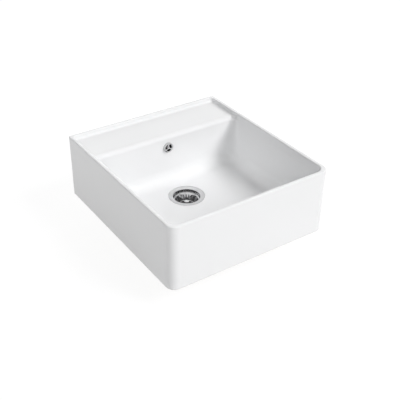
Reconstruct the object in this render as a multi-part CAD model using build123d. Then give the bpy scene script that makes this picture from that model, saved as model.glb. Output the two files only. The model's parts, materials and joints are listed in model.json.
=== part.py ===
from build123d import *
from math import tan, radians
import os

# Farmhouse sink with an apron front, a raised rim, a recessed tap deck and a
# basket strainer waste. Millimetres, +Z up, +X to the right, front at -Y.
# The origin is the middle of the foot plane on which the basin stands.

# --- Basin, outside ---
basin_width = 550.0
basin_depth = 600.0
basin_height = 212.0
front_corner_radius = 28.0
back_corner_radius = 6.0
rim_outer_round = 4.0
foot_round = 3.0

# --- Rim and tap deck ---
rim_width = 12.0
rim_inner_round = 4.0
deck_depth = 134.0
deck_drop = 14.0
deck_thickness = 16.0
deck_cove = 9.0
deck_corner_radius = 14.0
deck_edge_round = 14.0
mouth_band = 3.0

# --- Bowl ---
bowl_depth = 179.5
mouth_corner_radius = 28.0
floor_corner_radius = 60.0
wall_lean = 6.0
floor_fillet = 42.0
floor_fall_angle = 1.0
bowl_back_wall = 18.0

# --- Underside ---
skirt_wall = 18.0
cavity_corner_radius = 16.0
cavity_top_round = 4.0
foot_width = 34.0
floor_thickness = 18.0
underside_corner_radius = 40.0
tap_blank_radius = 17.5
tap_blank_skin = 7.0

# --- Waste opening in the floor ---
waste_hole_radius = 45.0
waste_back_distance = 110.5
seat_recess_depth = 2.0
seat_margin = 1.0

# --- Waste flange pressing ---
flange_radius = 57.5
flange_gauge = 1.2
mouth_roll = 4.0
bend_radius = 1.4
flange_hole_gap = 1.2
ledge_depth = 14.6
ledge_width = 4.0
flange_bowl_depth = 43.4
flange_bottom_radius = 31.0
outlet_slot_inner = 12.5
outlet_slot_outer = 21.5
outlet_slot_count = 4
outlet_bridge_angle = 24.0

# --- Seals and gaskets ---
flange_seal_thickness = 1.0
flange_seal_width = 9.0
body_gasket_thickness = 2.0

# --- Plastic waste body ---
body_wall = 3.0
body_inner_radius = 46.0
body_rim_width = 11.0
body_rim_thickness = 4.0
body_cup_depth = 45.0
body_funnel_height = 14.0
outlet_radius = 23.9
outlet_wall = 3.9
outlet_length = 34.0
boss_radius = 11.0
boss_length = 18.0
boss_gap = 2.8
web_thickness = 3.0

# --- Clamp screw and its insert ---
clamp_shank_radius = 6.0
clamp_bore_radius = 3.2
clamp_head_radius = 9.0
clamp_head_height = 2.5
clamp_length = 24.0
clamp_hole_gap = 0.3
insert_wall = 2.5
insert_length = 14.0

# --- Basket ---
basket_gauge = 1.0
basket_rim_bead = 1.1
basket_wall_gap = 0.7
basket_top_radius = 36.5
basket_floor_radius = 27.0
basket_depth = 22.6
basket_slot_count = 18
basket_slot_width = 2.4
basket_slot_height = 12.0
floor_hole_radius = 2.0
outer_hole_ring = 21.0
outer_hole_count = 12
inner_hole_ring = 14.0
inner_hole_count = 8
lift_seat_gap = 0.3

# --- Stem, knob, plug seal, washer and clip ---
stem_radius = 3.0
pin_radius = 1.7
pin_head_radius = 2.6
pin_head_height = 1.5
shoulder_radius = 4.5
shoulder_height = 0.5
knob_height = 17.0
knob_top_radius = 8.5
knob_waist_radius = 5.0
knob_top_thickness = 3.5
knob_dome = 1.5
knob_socket_depth = 9.0
plug_radius = 27.0
plug_web = 2.0
plug_recess_margin = 1.0
washer_radius = 8.0
washer_thickness = 1.0
running_gap = 0.08
clip_length = 15.0
clip_slit = 0.8

# --- Overflow: hole, rosette and screw ---
overflow_drop = 41.5
overflow_hole_radius = 13.0
rosette_radius = 17.0
rosette_height = 5.5
rosette_wall = 4.4
rosette_round = 2.4
rosette_plate = 2.0
rosette_plate_inset = 1.4
rosette_hub_radius = 5.6
rosette_slot_width = 5.2
rosette_slot_round = 1.6
rosette_spoke_width = 4.4
rosette_seal_thickness = 0.8
rosette_seal_width = 3.0
overflow_screw_radius = 2.5
overflow_screw_head_radius = 3.1
overflow_screw_head_height = 1.2
overflow_screw_length = 40.0

# --- Overflow: elbow behind the wall ---
elbow_gasket_thickness = 2.5
elbow_radius = 18.0
elbow_wall = 2.5
elbow_length = 38.0
elbow_lip = 2.5
elbow_boss_radius = 5.5
elbow_insert_radius = 3.8
elbow_insert_length = 9.0
spigot_radius = 13.0
spigot_drop = 42.0
spigot_wall_clearance = 23.0

# --- Overflow: pipe, union nuts and cone seals ---
pipe_radius = 10.0
pipe_wall = 1.5
pipe_bend_radius = 40.0
pipe_slot_gap = 5.0
socket_gap = 0.4
socket_depth = 12.0
inlet_length = 22.0
inlet_drop = 34.0
nut_radius = 17.0
nut_length = 18.0
nut_end_wall = 3.0
nut_grip_depth = 1.2
nut_grip_count = 10
thread_gap = 0.1
cone_length = 5.0

# --- Levels and positions that follow from the sizes above ---
inner_half = basin_width / 2 - rim_width
inner_front = -basin_depth / 2 + rim_width
inner_back = basin_depth / 2 - rim_width
bowl_back = inner_back - deck_depth
deck_z = basin_height - deck_drop
straight_z = deck_z - deck_edge_round - mouth_band
floor_z = basin_height - bowl_depth
cavity_front = bowl_back + bowl_back_wall
cavity_z = deck_z - deck_thickness
waste_y = bowl_back - waste_back_distance
seat_radius = flange_radius + seat_margin
seat_z = floor_z - seat_recess_depth
underside_z = seat_z - floor_thickness
flange_sheet_z = seat_z + flange_seal_thickness + flange_gauge / 2
flange_bowl_radius = waste_hole_radius - flange_hole_gap - flange_gauge / 2
ledge_z = flange_sheet_z - ledge_depth
flange_bottom_z = flange_sheet_z - flange_bowl_depth
body_top_z = underside_z - body_gasket_thickness
body_cup_z = body_top_z - body_cup_depth
funnel_z = body_cup_z - body_funnel_height
outlet_end_z = funnel_z - outlet_length
outlet_inner_radius = outlet_radius - outlet_wall
boss_top_z = flange_bottom_z - flange_gauge / 2 - boss_gap
clamp_seat_z = flange_bottom_z + flange_gauge / 2
basket_rim_z = ledge_z + flange_gauge / 2 + lift_seat_gap + basket_gauge / 2
basket_floor_z = basket_rim_z - basket_depth
plug_top_z = basket_floor_z - basket_gauge / 2
plug_lip_z = clamp_seat_z + lift_seat_gap
washer_z = plug_top_z - plug_web
shoulder_z = washer_z - washer_thickness
pin_top_z = shoulder_z - shoulder_height
clip_top_z = pin_top_z - lift_seat_gap
clip_bottom_z = clip_top_z - clip_length
pin_head_z = clip_bottom_z - lift_seat_gap
overflow_z = deck_z - overflow_drop
spigot_y = cavity_front + spigot_wall_clearance
spigot_end_z = overflow_z - spigot_drop
elbow_front = cavity_front + elbow_gasket_thickness
elbow_back = elbow_front + elbow_length
inlet_z = body_top_z - inlet_drop
inlet_end_y = waste_y + body_inner_radius + body_wall + inlet_length
socket_radius = pipe_radius + socket_gap
bend_run = pipe_bend_radius - spigot_wall_clearance
bend_rise = pipe_bend_radius - (pipe_bend_radius ** 2 - bend_run ** 2) ** 0.5
pipe_slot_z = inlet_z + bend_rise + pipe_radius + pipe_slot_gap


def plan(front_y, back_y, half_width, front_radius, back_radius):
    """Rounded rectangle seen from above, with its own front and back corner radii."""
    outline = Pos(0, (front_y + back_y) / 2) * Rectangle(2 * half_width, back_y - front_y)
    outline = fillet(outline.vertices().sort_by(Axis.Y)[-2:], back_radius)
    return fillet(outline.vertices().sort_by(Axis.Y)[:2], front_radius)


def prism(outline, low_z, high_z):
    """Upright prism of a plan outline between two levels."""
    return extrude(Pos(0, 0, low_z) * outline, high_z - low_z)


def ring(outer, inner, low_z, high_z):
    """Upright ring round the Z axis."""
    return prism(Circle(outer) - Circle(inner), low_z, high_z)


def turned(points):
    """Solid of revolution about Z from (radius, height) corners."""
    return revolve(Plane.XZ * make_face(Polyline(*points, close=True)), Axis.Z)


def pressing(points, bends, gauge):
    """Round sheet pressing: the sheet follows the points, with a bend radius at each corner."""
    path = FilletPolyline(*points, radius=bends)
    return revolve(Plane.XZ * trace(path, gauge), Axis.Z)


def at_waste(shape):
    """Moves a shape built about the Z axis onto the axis of the waste opening."""
    return Pos(0, waste_y, 0) * shape


def toward_back(shape):
    """Turns a shape built up the Z axis so that it runs along +Y, through the overflow's axis."""
    return Pos(0, 0, overflow_z) * Rot(X=-90) * shape


def mouth_plan():
    """Outline of the bowl at the level of the tap deck."""
    return plan(inner_front, bowl_back, inner_half, mouth_corner_radius, mouth_corner_radius)


def bowl_void():
    """Space of the bowl: upright at the mouth, leaning walls below, floor falling to the waste."""
    low = plan(inner_front + wall_lean, bowl_back, inner_half - wall_lean,
               floor_corner_radius, floor_corner_radius)
    low_z = floor_z - seat_recess_depth
    void = loft([Pos(0, 0, straight_z) * mouth_plan(), Pos(0, 0, low_z) * low])
    void += prism(mouth_plan(), straight_z, basin_height + deck_drop)
    reach = basin_width + basin_depth
    rise = (reach - seat_radius) * tan(radians(floor_fall_angle))
    floor = turned([(0, low_z - deck_drop), (reach, low_z - deck_drop), (reach, floor_z + rise),
                    (seat_radius, floor_z), (0, floor_z)])
    void -= at_waste(floor)
    floor_edges = [edge for edge in void.edges()
                   if edge.center().Z < floor_z + floor_fillet
                   and (edge.center() - Vector(0, waste_y, floor_z)).length > 1.2 * seat_radius
                   and edge.bounding_box().size.Z < floor_fillet]
    return fillet(floor_edges, floor_fillet)


def deck_void():
    """Space above the tap deck, coved at its foot, as one plan with the bowl's mouth."""
    outline = plan(inner_front, inner_back, inner_half, mouth_corner_radius, deck_corner_radius)
    void = prism(outline, deck_z, basin_height + deck_drop)
    return fillet(void.edges().group_by(Axis.Z)[0], deck_cove)


def deck_edge_void():
    """Rounded front edge of the deck: the bowl's mouth flared at deck level, between the walls."""
    slab = prism(Rectangle(basin_width, basin_depth), straight_z, deck_z)
    slab -= prism(mouth_plan(), straight_z - mouth_band, deck_z + mouth_band)
    mouth_edges = [edge for edge in slab.edges().group_by(Axis.Z)[-1]
                   if abs(edge.center().X) < inner_half + 1
                   and inner_front - 1 < edge.center().Y < inner_back]
    back_half = Pos(0, waste_y) * Rectangle(2 * inner_half, inner_back, align=(Align.CENTER, Align.MIN))
    return (slab - fillet(mouth_edges, deck_edge_round)) & prism(back_half, 0, basin_height)


def pipe_slot():
    """Room for the overflow pipe where a higher floor brings it up to the foot of the bowl's wall."""
    wall = Pos(0, cavity_front - foot_width / 2) * Rectangle(
        2 * (pipe_radius + pipe_slot_gap), 2 * foot_width)
    return prism(wall, min(pipe_slot_z, 0) - foot_round, pipe_slot_z)


def sink_basin():
    """Fireclay basin: apron, rim, recessed deck, bowl and the open cavity under the deck."""
    outline = plan(-basin_depth / 2, basin_depth / 2, basin_width / 2,
                   front_corner_radius, back_corner_radius)
    body = prism(outline, 0, basin_height)
    body = fillet(body.edges().group_by(Axis.Z)[-1], rim_outer_round)
    body = fillet(body.edges().group_by(Axis.Z)[0], foot_round)
    body -= bowl_void()
    body -= deck_void()
    body -= deck_edge_void()
    rim_edges = [edge for edge in body.edges().group_by(Axis.Z)[-1]
                 if abs(edge.center().X) < inner_half + 1
                 and inner_front - 1 < edge.center().Y < inner_back + 1]
    body = fillet(rim_edges, rim_inner_round)
    cavity = prism(plan(cavity_front, basin_depth / 2 - skirt_wall, basin_width / 2 - skirt_wall,
                        cavity_corner_radius, cavity_corner_radius), -foot_round, cavity_z)
    body -= fillet(cavity.edges().group_by(Axis.Z)[-1], cavity_top_round)
    underside = plan(-basin_depth / 2 + foot_width, cavity_front - foot_width,
                     basin_width / 2 - foot_width, underside_corner_radius, underside_corner_radius)
    body -= prism(underside, -foot_round, underside_z)
    body -= pipe_slot()
    body -= at_waste(prism(Circle(waste_hole_radius), -foot_round, basin_height))
    body -= at_waste(prism(Circle(seat_radius), seat_z, basin_height))
    overflow_hole = prism(Circle(overflow_hole_radius), bowl_back - bowl_back_wall,
                          cavity_front + bowl_back_wall)
    body -= toward_back(overflow_hole)
    blank = prism(Circle(tap_blank_radius), cavity_z - cavity_top_round, deck_z - tap_blank_skin)
    body -= Pos(0, (bowl_back + inner_back) / 2, 0) * blank
    return body


def waste_flange():
    """Stainless strainer bowl: lip on the floor, rolled mouth, ledge for the basket, slotted bottom."""
    shell = pressing([(flange_radius, flange_sheet_z), (flange_bowl_radius, flange_sheet_z),
                      (flange_bowl_radius, ledge_z), (flange_bowl_radius - ledge_width, ledge_z),
                      (flange_bottom_radius, flange_bottom_z), (clamp_shank_radius + clamp_hole_gap,
                                                                flange_bottom_z)],
                     [mouth_roll, bend_radius, bend_radius, bend_radius], flange_gauge)
    slot = Circle(outlet_slot_outer) - Circle(outlet_slot_inner)
    pitch = 360 / outlet_slot_count
    wedge = make_face(Polyline((0, 0), *[
        (2 * outlet_slot_outer * Vector(1, 0).rotate(Axis.Z, a)) for a in
        (outlet_bridge_angle / 2, pitch / 2, pitch - outlet_bridge_angle / 2)], close=True))
    outlet = prism(fillet((slot & wedge).vertices(), bend_radius),
                   flange_bottom_z - flange_gauge, flange_bottom_z + flange_gauge)
    for index in range(outlet_slot_count):
        shell -= Rot(Z=index * pitch) * outlet
    return at_waste(shell)


def waste_flange_seal():
    """Rubber ring between the flange's lip and the recess in the floor."""
    return at_waste(ring(flange_radius, flange_radius - flange_seal_width,
                         seat_z, seat_z + flange_seal_thickness))


def waste_body_gasket():
    """Rubber gasket between the underside of the floor and the plastic body."""
    return at_waste(ring(body_inner_radius + body_rim_width, body_inner_radius + body_wall / 2,
                         body_top_z, underside_z))


def waste_body():
    """Plastic body: rim, cup round the strainer bowl, funnel and the overflow inlet."""
    outer = body_inner_radius + body_wall
    body = turned([(0, body_top_z), (body_inner_radius + body_rim_width, body_top_z),
                   (body_inner_radius + body_rim_width, body_top_z - body_rim_thickness),
                   (outer, body_top_z - body_rim_thickness), (outer, body_cup_z),
                   (outlet_radius, funnel_z), (0, funnel_z)])
    inlet_start = body_inner_radius - body_wall
    along_y = Pos(0, 0, inlet_z) * Rot(X=-90)
    body += along_y * prism(Circle(spigot_radius), inlet_start, inlet_end_y - waste_y)
    body -= turned([(0, body_top_z + body_wall), (body_inner_radius, body_top_z + body_wall),
                    (body_inner_radius, body_cup_z), (outlet_inner_radius, funnel_z),
                    (outlet_inner_radius, funnel_z - body_wall), (0, funnel_z - body_wall)])
    body -= along_y * prism(Circle(socket_radius), 0, outer + inlet_length + body_wall)
    web = Pos(0, 0, boss_top_z - boss_length) * Box(
        2 * outer, web_thickness, boss_length - body_wall,
        align=(Align.CENTER, Align.CENTER, Align.MIN))
    envelope = turned([(0, body_top_z), (body_inner_radius + body_wall / 2, body_top_z),
                       (body_inner_radius + body_wall / 2, body_cup_z),
                       (outlet_radius - body_wall / 2, funnel_z), (0, funnel_z)])
    webs = (Rot(Z=45) * web + Rot(Z=135) * web) & envelope
    boss = prism(Circle(boss_radius), boss_top_z - boss_length, boss_top_z)
    body += webs + boss
    body -= prism(Circle(clamp_shank_radius + insert_wall), boss_top_z - insert_length, boss_top_z)
    body -= prism(Circle(clamp_shank_radius + clamp_hole_gap), boss_top_z - 2 * boss_length, boss_top_z)
    return at_waste(body)


def waste_outlet():
    """Plastic outlet with the size of a trap's thread, welded end to end on the body's funnel."""
    return at_waste(ring(outlet_radius, outlet_inner_radius, outlet_end_z, funnel_z))


def waste_body_insert():
    """Brass threaded insert in the boss, for the clamp screw."""
    return at_waste(ring(clamp_shank_radius + insert_wall, clamp_shank_radius,
                         boss_top_z - insert_length, boss_top_z))


def waste_clamp_screw():
    """Hollow screw that pulls the strainer bowl down on the body; its bore takes the basket's pin."""
    head = ring(clamp_head_radius, clamp_bore_radius, clamp_seat_z, clamp_seat_z + clamp_head_height)
    head = fillet(head.edges().group_by(Axis.Z)[-1].sort_by(SortBy.LENGTH)[-1], running_gap * 10)
    shank = ring(clamp_shank_radius, clamp_bore_radius, clamp_seat_z - clamp_length, clamp_seat_z)
    return at_waste(head + shank)


def strainer_basket():
    """Stainless basket: beaded rim, cone with upright slots and a floor with two rings of holes."""
    rim_radius = flange_bowl_radius - flange_gauge / 2 - basket_wall_gap - basket_rim_bead
    shell = pressing([(rim_radius, basket_rim_z), (basket_top_radius, basket_rim_z),
                      (basket_floor_radius, basket_floor_z), (stem_radius + basket_gauge, basket_floor_z)],
                     [bend_radius, bend_radius], basket_gauge)
    bead_z = basket_rim_z - basket_gauge / 2 + basket_rim_bead
    shell += revolve(Plane.XZ * Pos(rim_radius, bead_z) * Circle(basket_rim_bead), Axis.Z)
    shell -= prism(Circle(stem_radius), basket_floor_z - basket_depth, basket_rim_z)
    slot_z = (basket_rim_z + basket_floor_z) / 2
    slot = extrude(Plane.YZ * Rot(Z=90) * SlotOverall(basket_slot_height, basket_slot_width),
                   basket_top_radius + basket_wall_gap)
    slot -= prism(Circle(basket_floor_radius - basket_gauge), -basket_depth, basket_depth)
    for index in range(basket_slot_count):
        shell -= Pos(0, 0, slot_z) * Rot(Z=index * 360 / basket_slot_count) * slot
    hole = prism(Circle(floor_hole_radius), basket_floor_z - basket_gauge, basket_floor_z + basket_gauge)
    for radius, count in ((outer_hole_ring, outer_hole_count), (inner_hole_ring, inner_hole_count)):
        for index in range(count):
            shell -= Rot(Z=index * 360 / count) * Pos(radius, 0, 0) * hole
    return at_waste(shell)


def basket_stem():
    """Steel stem: pinned in the knob, through floor, plug and washer, with a headed pin below."""
    top_z = basket_floor_z + basket_gauge / 2 + knob_socket_depth
    return at_waste(turned([
        (0, top_z), (stem_radius, top_z), (stem_radius, shoulder_z), (shoulder_radius, shoulder_z),
        (shoulder_radius, pin_top_z), (pin_radius, pin_top_z), (pin_radius, pin_head_z),
        (pin_head_radius, pin_head_z), (pin_head_radius, pin_head_z - pin_head_height),
        (0, pin_head_z - pin_head_height)]))


def basket_knob():
    """Lifting knob: waisted, with a domed top, standing on the basket's floor."""
    low_z = basket_floor_z + basket_gauge / 2
    neck_z = low_z + knob_height - knob_top_thickness
    brim_z = low_z + knob_height - knob_dome
    dome_radius = (knob_top_radius ** 2 + knob_dome ** 2) / (2 * knob_dome)
    half = knob_top_radius / 2
    half_z = low_z + knob_height - dome_radius + (dome_radius ** 2 - half ** 2) ** 0.5
    profile = [
        Line((0, low_z), (knob_top_radius, low_z)),
        ThreePointArc((knob_top_radius, low_z), (knob_waist_radius, (low_z + neck_z) / 2),
                      (knob_top_radius, neck_z)),
        Line((knob_top_radius, neck_z), (knob_top_radius, brim_z)),
        ThreePointArc((knob_top_radius, brim_z), (half, half_z), (0, low_z + knob_height)),
        Line((0, low_z + knob_height), (0, low_z))]
    knob = revolve(Plane.XZ * make_face(profile), Axis.Z)
    knob -= prism(Circle(stem_radius), low_z - basket_gauge, low_z + knob_socket_depth)
    return at_waste(knob)


def basket_plug_seal():
    """Rubber plug under the basket that covers the outlet slots when the basket is down."""
    recess_radius = clamp_head_radius + plug_recess_margin
    return at_waste(turned([
        (stem_radius, plug_top_z), (plug_radius, plug_top_z), (plug_radius, plug_lip_z),
        (recess_radius, plug_lip_z), (recess_radius, washer_z), (stem_radius, washer_z)]))


def basket_retaining_washer():
    """Washer that holds the rubber plug against the basket's floor."""
    return at_waste(ring(washer_radius, stem_radius, shoulder_z, washer_z))


def basket_detent_clip():
    """Split sleeve on the pin that grips the bore of the clamp screw and guides the basket."""
    sleeve = ring(clamp_bore_radius - running_gap, pin_radius + running_gap,
                  clip_bottom_z, clip_top_z)
    slit = Pos(0, 0, clip_bottom_z) * Box(clip_slit, clamp_bore_radius, clip_length,
                                          align=(Align.CENTER, Align.MIN, Align.MIN))
    return at_waste(sleeve - slit)


def overflow_rosette():
    """Round overflow cover on the bowl's back wall: a raised rim round three curved slots."""
    front = bowl_back - rosette_seal_thickness - rosette_height
    wall_side = bowl_back - rosette_seal_thickness
    inner = rosette_radius - rosette_wall
    shell = ring(rosette_radius, inner, front, wall_side)
    shell = fillet(shell.edges().group_by(Axis.Z)[0].sort_by(SortBy.LENGTH)[-1], rosette_round)
    slots = Circle(rosette_hub_radius + rosette_slot_width) - Circle(rosette_hub_radius)
    for index in range(3):
        slots -= Rot(Z=90 + index * 120) * Rectangle(
            inner, rosette_spoke_width, align=(Align.MIN, Align.CENTER))
    slots = fillet(slots.vertices(), rosette_slot_round)
    shell += prism(Circle(inner) - slots, front + rosette_plate_inset,
                   front + rosette_plate_inset + rosette_plate)
    shell -= prism(Circle(overflow_screw_radius), front, wall_side)
    seat = turned([(0, front + rosette_plate_inset - overflow_screw_head_height),
                   (overflow_screw_head_radius, front + rosette_plate_inset - overflow_screw_head_height),
                   (overflow_screw_head_radius, front + rosette_plate_inset),
                   (overflow_screw_radius, front + rosette_plate_inset + overflow_screw_head_height),
                   (0, front + rosette_plate_inset + overflow_screw_head_height)])
    return toward_back(shell - seat)


def overflow_rosette_seal():
    """Thin seal between the overflow cover and the glaze."""
    return toward_back(ring(rosette_radius, rosette_radius - rosette_seal_width,
                            bowl_back - rosette_seal_thickness, bowl_back))


def overflow_screw():
    """Countersunk screw through the cover into the elbow behind the wall."""
    head_y = (bowl_back - rosette_seal_thickness - rosette_height + rosette_plate_inset)
    return toward_back(turned([
        (0, head_y), (overflow_screw_head_radius, head_y),
        (overflow_screw_radius, head_y + overflow_screw_head_height),
        (overflow_screw_radius, head_y + overflow_screw_length), (0, head_y + overflow_screw_length)]))


def overflow_elbow_gasket():
    """Rubber gasket between the back of the wall and the elbow."""
    return toward_back(ring(elbow_radius, overflow_hole_radius, cavity_front, elbow_front))


def overflow_elbow():
    """Plastic elbow: chamber behind the wall with a screw boss, and a socket that points down."""
    chamber = prism(Circle(elbow_radius), elbow_front, elbow_back)
    chamber = fillet(chamber.edges().group_by(Axis.Z)[-1], elbow_wall)
    chamber = toward_back(chamber)
    chamber += Pos(0, spigot_y, 0) * prism(Circle(spigot_radius), spigot_end_z, overflow_z)
    chamber -= toward_back(prism(Circle(elbow_radius - elbow_wall), elbow_front - elbow_wall,
                                 elbow_back - elbow_wall))
    chamber -= Pos(0, spigot_y, 0) * prism(Circle(socket_radius), spigot_end_z - elbow_wall, overflow_z)
    boss_front = overflow_boss_front()
    chamber += toward_back(prism(Circle(elbow_boss_radius), boss_front, elbow_back - elbow_wall))
    chamber -= toward_back(prism(Circle(elbow_insert_radius), boss_front,
                                 boss_front + elbow_insert_length))
    chamber -= toward_back(prism(Circle(overflow_screw_radius + clamp_hole_gap), boss_front,
                                 elbow_back - elbow_wall))
    return chamber


def overflow_boss_front():
    """Where the elbow's screw boss begins: the insert is at the end of the screw."""
    head_y = bowl_back - rosette_seal_thickness - rosette_height + rosette_plate_inset
    return head_y + overflow_screw_length - elbow_insert_length


def overflow_elbow_insert():
    """Brass threaded insert in the elbow's boss."""
    front = overflow_boss_front()
    return toward_back(ring(elbow_insert_radius, overflow_screw_radius, front,
                            front + elbow_insert_length))


def overflow_pipe():
    """Bent plastic pipe from the elbow's socket down and forward into the waste body's inlet."""
    start = (0, spigot_y, spigot_end_z + socket_depth)
    end = (0, inlet_end_y - socket_depth, inlet_z)
    path = FilletPolyline(start, (0, spigot_y, inlet_z), end, radius=pipe_bend_radius)
    section = Plane(origin=start, z_dir=(0, 0, -1)) * (Circle(pipe_radius) - Circle(pipe_radius - pipe_wall))
    return sweep(section, path)


def union_nut():
    """Grip-ribbed union nut, its open end up and its end wall at the bottom, about the Z axis."""
    nut = prism(Circle(nut_radius), 0, nut_length)
    grip = Pos(nut_radius + nut_grip_depth, 0, 0) * prism(
        Circle(2 * nut_grip_depth), 0, nut_length)
    for index in range(nut_grip_count):
        nut -= Rot(Z=index * 360 / nut_grip_count) * grip
    nut -= prism(Circle(spigot_radius + thread_gap), nut_end_wall, nut_length)
    return nut - prism(Circle(socket_radius), 0, nut_end_wall)


def cone_seal():
    """Rubber cone seal in the end of a union nut, about the Z axis."""
    return turned([(pipe_radius, nut_end_wall), (spigot_radius, nut_end_wall),
                   (spigot_radius, nut_end_wall + cone_length / 2),
                   (socket_radius, nut_end_wall + cone_length), (pipe_radius, nut_end_wall + cone_length)])


def at_pipe_ends(shape):
    """Two copies of a shape, one below the elbow's socket and one behind the body's inlet."""
    reach = nut_end_wall + cone_length
    upper = Pos(0, spigot_y, spigot_end_z - reach) * shape
    lower = Pos(0, inlet_end_y + reach, inlet_z) * Rot(X=90) * shape
    return Compound(children=[upper, lower])


builders = {
    "sink_basin": sink_basin,
    "waste_flange": waste_flange,
    "waste_flange_seal": waste_flange_seal,
    "waste_body_gasket": waste_body_gasket,
    "waste_body": waste_body,
    "waste_outlet": waste_outlet,
    "waste_body_insert": waste_body_insert,
    "waste_clamp_screw": waste_clamp_screw,
    "strainer_basket": strainer_basket,
    "basket_stem": basket_stem,
    "basket_knob": basket_knob,
    "basket_plug_seal": basket_plug_seal,
    "basket_retaining_washer": basket_retaining_washer,
    "basket_detent_clip": basket_detent_clip,
    "overflow_rosette": overflow_rosette,
    "overflow_rosette_seal": overflow_rosette_seal,
    "overflow_screw": overflow_screw,
    "overflow_elbow_gasket": overflow_elbow_gasket,
    "overflow_elbow": overflow_elbow,
    "overflow_elbow_insert": overflow_elbow_insert,
    "overflow_pipe": overflow_pipe,
    "pipe_nuts": lambda: at_pipe_ends(union_nut()),
    "pipe_cone_seals": lambda: at_pipe_ends(cone_seal()),
}

os.makedirs("parts", exist_ok=True)
for name, build in builders.items():
    export_step(build(), f"parts/{name}.step")
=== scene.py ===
import json
import math
from collections import namedtuple

import bmesh
import bpy
import numpy as np
from bpy.props import FloatProperty, FloatVectorProperty, IntProperty, PointerProperty
from bpy.types import Operator, Panel, PropertyGroup
from mathutils import Euler, Matrix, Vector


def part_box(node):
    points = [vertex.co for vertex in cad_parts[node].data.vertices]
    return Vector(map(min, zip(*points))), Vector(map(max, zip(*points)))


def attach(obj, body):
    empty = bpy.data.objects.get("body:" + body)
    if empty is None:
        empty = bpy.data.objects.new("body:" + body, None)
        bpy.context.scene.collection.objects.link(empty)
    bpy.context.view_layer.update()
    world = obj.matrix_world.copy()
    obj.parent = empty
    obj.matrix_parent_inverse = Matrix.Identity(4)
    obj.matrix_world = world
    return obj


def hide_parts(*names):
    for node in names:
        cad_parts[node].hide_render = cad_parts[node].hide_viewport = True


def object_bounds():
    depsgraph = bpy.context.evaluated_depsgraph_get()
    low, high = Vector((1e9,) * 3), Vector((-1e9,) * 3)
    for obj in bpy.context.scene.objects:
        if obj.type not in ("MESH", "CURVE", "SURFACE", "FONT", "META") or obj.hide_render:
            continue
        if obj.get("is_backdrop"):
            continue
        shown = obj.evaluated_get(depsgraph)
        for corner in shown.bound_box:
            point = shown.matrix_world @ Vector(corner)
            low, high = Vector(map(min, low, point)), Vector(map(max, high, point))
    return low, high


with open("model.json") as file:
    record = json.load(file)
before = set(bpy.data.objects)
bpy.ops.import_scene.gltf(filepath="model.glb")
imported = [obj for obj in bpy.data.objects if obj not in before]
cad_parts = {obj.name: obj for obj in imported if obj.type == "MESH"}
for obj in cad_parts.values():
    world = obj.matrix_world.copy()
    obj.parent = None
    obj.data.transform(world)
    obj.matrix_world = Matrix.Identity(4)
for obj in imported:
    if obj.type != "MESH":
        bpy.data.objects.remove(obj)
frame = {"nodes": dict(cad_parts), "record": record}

bl_info = {
    "name": "Apron Front Sink",
    "version": (1, 0, 0),
    "blender": (4, 5, 0),
    "location": "View3D > Sidebar > Sink",
    "description": "Glaze, steel, rubber and plastic of an apron front sink, and its studio",
    "category": "Object",
}

MM = 0.001

# Points closer than MERGE become one, and edges with a sharper turn than SHARP stay hard.
MERGE = 1e-7
SHARP = math.radians(40)

# Where each lamp stands, in degrees: to the right of the front, and above the horizon.
LAMPS = {
    "key": (30, 42),
    "left": (300, 28),
    "high": (240, 58),
    "back": (150, 16),
    "right": (120, 28),
}

# A ring of openings in a sheet: its first and last row of the profile, how many openings, the part
# of the ring that is open, the angle of the first one, the direction of the profile there, and the
# depth and power of the curve at the openings' ends.
Cut = namedtuple("Cut", "start end count share first along depth power")


# ---------------------------------------------------------------- places from the frame


def middle(node):
    """Middle of a frame node's box."""
    low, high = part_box(node)
    return (low + high) / 2


def slot_of(node):
    """Material slot that the record gives to a node."""
    parts = frame["record"]["subparts"]
    return next(part["material_slot"] for part in parts if part["node"] == node)


def body_of(node):
    """Body that carries a node."""
    bodies = frame["record"]["behaviour"]["bodies"]
    return next(body for body, nodes in bodies.items() if node in nodes)


WASTE = middle("waste_flange")
OVERFLOW = middle("overflow_rosette")


# ---------------------------------------------------------------- node helpers


def new_material(name):
    """A node material with one Principled shader: the material, its node tree and the shader."""
    material = bpy.data.materials.new(name)
    material.use_nodes = True
    tree = material.node_tree
    tree.nodes.clear()
    shader = tree.nodes.new("ShaderNodeBsdfPrincipled")
    output = tree.nodes.new("ShaderNodeOutputMaterial")
    tree.links.new(shader.outputs["BSDF"], output.inputs["Surface"])
    return material, tree, shader


def add(tree, kind, inputs=None, **settings):
    """A node of a kind, with its settings and its inputs; an input may be another node's socket."""
    node = tree.nodes.new("ShaderNode" + kind)
    for key, value in settings.items():
        setattr(node, key, value)
    for key, value in (inputs or {}).items():
        if isinstance(value, bpy.types.NodeSocket):
            tree.links.new(value, node.inputs[key])
        else:
            node.inputs[key].default_value = value
    return node


def place(tree, centre=(0, 0, 0), turn=(0, 0, 0), scale=(1, 1, 1)):
    """Object coordinates moved so that a centre is at zero, then scaled and turned."""
    here = add(tree, "TexCoord").outputs["Object"]
    moved = add(tree, "VectorMath", {0: here, 1: centre}, operation="SUBTRACT").outputs[0]
    return add(tree, "Mapping", {"Vector": moved, "Rotation": turn, "Scale": scale}).outputs[0]


def noise(tree, where, scale, detail=2.0, roughness=0.5):
    """Noise between 0 and 1 at a scale in waves per metre."""
    node = add(tree, "TexNoise", {"Vector": where, "Scale": scale, "Detail": detail,
                                  "Roughness": roughness})
    return node.outputs["Fac"]


def between(tree, factor, low, high, start=0.0, end=1.0):
    """A number that runs from low to high as a factor runs from start to end."""
    node = add(tree, "MapRange", {"Value": factor, "From Min": start, "From Max": end,
                                  "To Min": low, "To Max": high})
    return node.outputs[0]


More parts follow.
